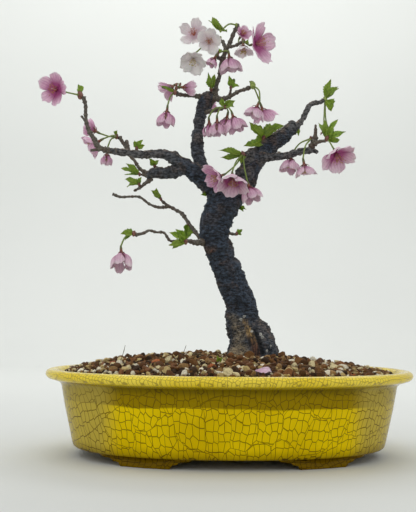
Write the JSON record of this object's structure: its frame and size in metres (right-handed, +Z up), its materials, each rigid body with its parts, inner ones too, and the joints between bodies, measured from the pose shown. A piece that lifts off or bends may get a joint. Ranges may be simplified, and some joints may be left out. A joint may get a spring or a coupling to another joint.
{
  "type": "cherry blossom bonsai",
  "caption": "Old cherry bonsai in pink blossom, its leaning trunk planted in granular soil in an oval footed tray with crackled yellow glaze; ornamental.",
  "frame": {"origin": "on the ground under the middle of the oval tray", "axes": "+Z up, +X along the tray's long side, towards the branch that rises highest on that side; the planting's front faces -Y"},
  "size_m": [0.36, 0.268, 0.4392],
  "materials": {
    "glaze": "glossy yellow glaze with fine olive brown crackle",
    "mesh": "matt black",
    "soil": "dry granules of fired clay, pumice and lava",
    "bark": "rough dark bark",
    "shoot": "soft yellow green leaf and stalk",
    "petal": "soft pale mauve pink"
  },
  "bodies": {
    "root": {"pot": "glaze", "drain_mesh_left": "mesh", "drain_mesh_right": "mesh", "soil": "soil", "wood": "bark", "fallen_petal": "petal", "blossom_leader_left_1": "petal", "blossom_leader_left_2": "petal", "blossom_leader_left_3": "petal", "blossom_leader_low_right_1": "petal", "blossom_leader_low_right_2": "petal", "blossom_leader_low_right_3": "petal", "blossom_leader_low_right_4": "petal", "blossom_leader_rear": "petal", "blossom_leader_right_tip_1": "petal", "blossom_leader_right_tip_2": "petal", "blossom_left_spur_1": "petal", "blossom_left_spur_2": "petal", "blossom_left_spur_3": "petal", "blossom_left_tip_1": "petal", "blossom_low_left_tip_1": "petal", "blossom_right_inner_1": "petal", "blossom_right_inner_2": "petal", "blossom_right_inner_3": "petal", "blossom_right_low_1": "petal", "blossom_right_low_2": "petal", "blossom_right_low_tip_1": "petal", "blossom_top_left_1": "petal", "blossom_top_left_2": "petal", "blossom_top_left_3": "petal", "blossom_top_lower_1": "petal", "blossom_top_lower_2": "petal", "blossom_top_right_1": "petal", "blossom_top_right_2": "petal", "blossom_top_right_3": "petal", "shoot_leader_crown": "shoot", "shoot_leader_left": "shoot", "shoot_leader_low_right": "shoot", "shoot_leader_right": "shoot", "shoot_leader_right_tip": "shoot", "shoot_left_crotch": "shoot", "shoot_left_low_lower": "shoot", "shoot_left_low_upper": "shoot", "shoot_left_spur": "shoot", "shoot_left_tip": "shoot", "shoot_left_upper": "shoot", "shoot_low_left_base": "shoot", "shoot_low_left_tip": "shoot", "shoot_mid_left_fork": "shoot", "shoot_mid_left_leaf": "shoot", "shoot_right_inner": "shoot", "shoot_right_low": "shoot", "shoot_right_low_tip": "shoot", "shoot_right_tip": "shoot", "shoot_right_upper": "shoot", "shoot_top_left": "shoot", "shoot_top_lower": "shoot", "shoot_top_right": "shoot", "shoot_top_tip": "shoot", "shoot_trunk_stub": "shoot"}
  },
  "joints": []
}
